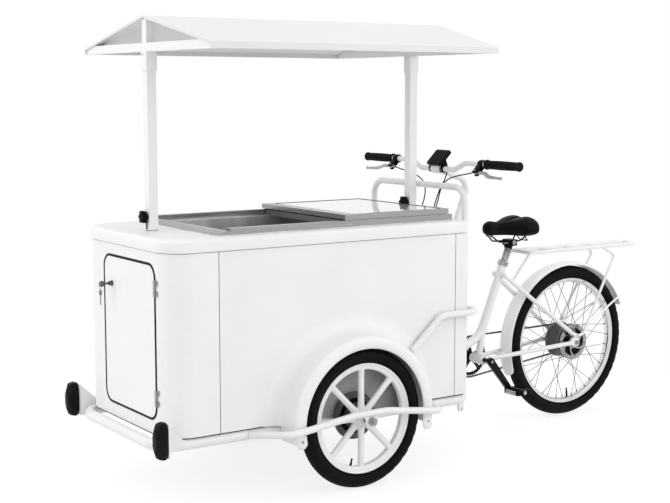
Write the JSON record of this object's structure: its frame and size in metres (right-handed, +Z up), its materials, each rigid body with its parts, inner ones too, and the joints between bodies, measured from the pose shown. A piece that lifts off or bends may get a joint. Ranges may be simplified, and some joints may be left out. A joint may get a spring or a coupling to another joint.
{
  "type": "ice cream tricycle",
  "caption": "Cargo tricycle for selling ice cream: insulated box with sliding lids, door and canopy on two wheels, steered against a pedalled rear frame with a motor wheel.",
  "frame": {"origin": "on the ground, at the middle of the bounding box", "axes": "-Y is forward, +X is the rider's left, +Z is up"},
  "size_m": [1, 2.6092, 1.6999],
  "materials": {
    "white_paint": "gloss paint",
    "white_panel": "gloss composite panel",
    "stainless": "brushed stainless sheet",
    "hardware": "plated steel",
    "bright_post": "polished",
    "black_rubber": "matte rubber",
    "black_plastic": "moulded",
    "seat_cover": "soft cover over padding",
    "tyre_black": "tyre",
    "alloy": "satin",
    "dark_alloy": "satin cast",
    "dark_steel": "black",
    "foam": "rigid foam"
  },
  "bodies": {
    "cargo_box": {"chassis_frame": "white_paint", "wheel_guards": "white_paint", "side_rail": "white_paint", "front_axles": "hardware", "front_fenders": "white_paint", "bumper_pads": "black_rubber", "front_shell": "white_panel", "side_panels": "white_panel", "rear_panel": "white_panel", "floor_panel": "white_panel", "top_cap": "white_panel", "steel_frame": "stainless", "steel_well": "stainless", "insulation": "foam", "battery_pack": "black_plastic", "cooling_unit": "dark_alloy", "push_bar": "white_paint", "handlebar_riser": "white_paint", "handlebar": "white_paint", "grips": "black_rubber", "lever_mounts": "black_plastic", "display": "black_plastic", "control_cables": "black_plastic", "post_sockets": "hardware", "door_hinges": "hardware", "steering_pin": "hardware"},
    "door": {"door_panel": "white_panel", "door_seal": "black_rubber", "door_lock": "hardware"},
    "key": {"door_key": "hardware"},
    "upper_lid": {"lid_panel": "white_panel", "lid_frame": "stainless"},
    "lower_lid": {"lower_lid": "stainless"},
    "canopy": {"canopy_posts": "white_paint", "canopy_frame": "white_paint", "canopy_roof": "white_panel"},
    "front_clamp_knob": {"front_knob": "black_plastic"},
    "rear_clamp_knob": {"rear_knob": "black_plastic"},
    "front_wheel_left": {"front_tyre_left": "tyre_black", "front_rim_left": "white_paint"},
    "front_wheel_right": {"front_tyre_right": "tyre_black", "front_rim_right": "white_paint"},
    "rear_cycle": {"rear_frame": "white_paint", "rear_mudguard": "white_paint", "rear_rack": "white_paint", "rear_axle": "hardware", "drive_chain": "dark_steel"},
    "seat": {"seat_post": "bright_post", "saddle": "seat_cover"},
    "rear_wheel": {"rear_tyre": "tyre_black", "rear_rim": "alloy", "wire_spokes_set": "hardware", "hub_motor": "dark_alloy", "rear_rotor": "hardware"},
    "sprocket": {"sprocket": "dark_steel"},
    "crank": {"crankset": "dark_steel"},
    "pedal_left": {"pedal_left": "black_plastic"},
    "pedal_right": {"pedal_right": "black_plastic"},
    "lever_left": {"lever_left": "hardware"},
    "lever_right": {"lever_right": "hardware"}
  },
  "joints": [
    {"name": "steer", "type": "hinge", "parent": "cargo_box", "child": "rear_cycle", "pos_m": [0, 0.1645, 0.36], "axis": [0, 0, 1], "range_deg": [-20, 20]},
    {"name": "front_wheel_left_spin", "type": "hinge", "parent": "cargo_box", "child": "front_wheel_left", "pos_m": [0.406, -0.4905, 0.258], "axis": [1, 0, 0], "continuous": true},
    {"name": "front_wheel_right_spin", "type": "hinge", "parent": "cargo_box", "child": "front_wheel_right", "pos_m": [-0.406, -0.4905, 0.258], "axis": [1, 0, 0], "continuous": true},
    {"name": "rear_wheel_spin", "type": "hinge", "parent": "rear_cycle", "child": "rear_wheel", "pos_m": [0, 0.9045, 0.334], "axis": [1, 0, 0], "continuous": true},
    {"name": "crank_spin", "type": "hinge", "parent": "rear_cycle", "child": "crank", "pos_m": [0, 0.4075, 0.305], "axis": [1, 0, 0], "continuous": true},
    {"name": "sprocket_spin", "type": "hinge", "parent": "rear_cycle", "child": "sprocket", "pos_m": [-0.054, 0.9045, 0.334], "axis": [1, 0, 0], "continuous": true},
    {"name": "pedal_left_spin", "type": "hinge", "parent": "crank", "child": "pedal_left", "pos_m": [0.13, 0.51134, 0.17677], "axis": [1, 0, 0], "continuous": true},
    {"name": "pedal_right_spin", "type": "hinge", "parent": "crank", "child": "pedal_right", "pos_m": [-0.13, 0.30366, 0.43323], "axis": [1, 0, 0], "continuous": true},
    {"name": "door_hinge", "type": "hinge", "parent": "cargo_box", "child": "door", "pos_m": [0.2485, -1.236, 0.58], "axis": [0, 0, 1], "range_deg": [0, 110]},
    {"name": "key_turn", "type": "hinge", "parent": "door", "child": "key", "pos_m": [-0.0975, -1.24, 0.752], "axis": [0, 1, 0], "range_deg": [0, 90]},
    {"name": "upper_lid_slide", "type": "slide", "parent": "cargo_box", "child": "upper_lid", "axis": [0, -1, 0], "range_m": [0, 0.478]},
    {"name": "lower_lid_slide", "type": "slide", "parent": "cargo_box", "child": "lower_lid", "axis": [0, -1, 0], "range_m": [0, 0.478]},
    {"name": "canopy_lift", "type": "slide", "parent": "cargo_box", "child": "canopy", "axis": [0, 0, 1], "range_m": [0, 0.1]},
    {"name": "front_knob_turn", "type": "hinge", "parent": "canopy", "child": "front_clamp_knob", "pos_m": [0, -1.15, 0.994], "axis": [0, 1, 0], "continuous": true},
    {"name": "rear_knob_turn", "type": "hinge", "parent": "canopy", "child": "rear_clamp_knob", "pos_m": [0, 0.006, 0.994], "axis": [0, 1, 0], "continuous": true},
    {"name": "seat_height", "type": "slide", "parent": "rear_cycle", "child": "seat", "axis": [0, 0.3796, 0.9251], "range_m": [-0.03, 0.08]},
    {"name": "lever_left_pull", "type": "hinge", "parent": "cargo_box", "child": "lever_left", "pos_m": [0.278, 0.1485, 1.122], "axis": [0, -0.7071, 0.7071], "range_deg": [0, 12], "stiffness_Nm_per_rad": 2, "springref_deg": -2.86},
    {"name": "lever_right_pull", "type": "hinge", "parent": "cargo_box", "child": "lever_right", "pos_m": [-0.278, 0.1485, 1.122], "axis": [0, 0.7071, -0.7071], "range_deg": [0, 12], "stiffness_Nm_per_rad": 2, "springref_deg": -2.86}
  ],
  "couplings": [
    {"joint": "sprocket_spin", "follows": "crank_spin", "ratio": 1.375}
  ]
}
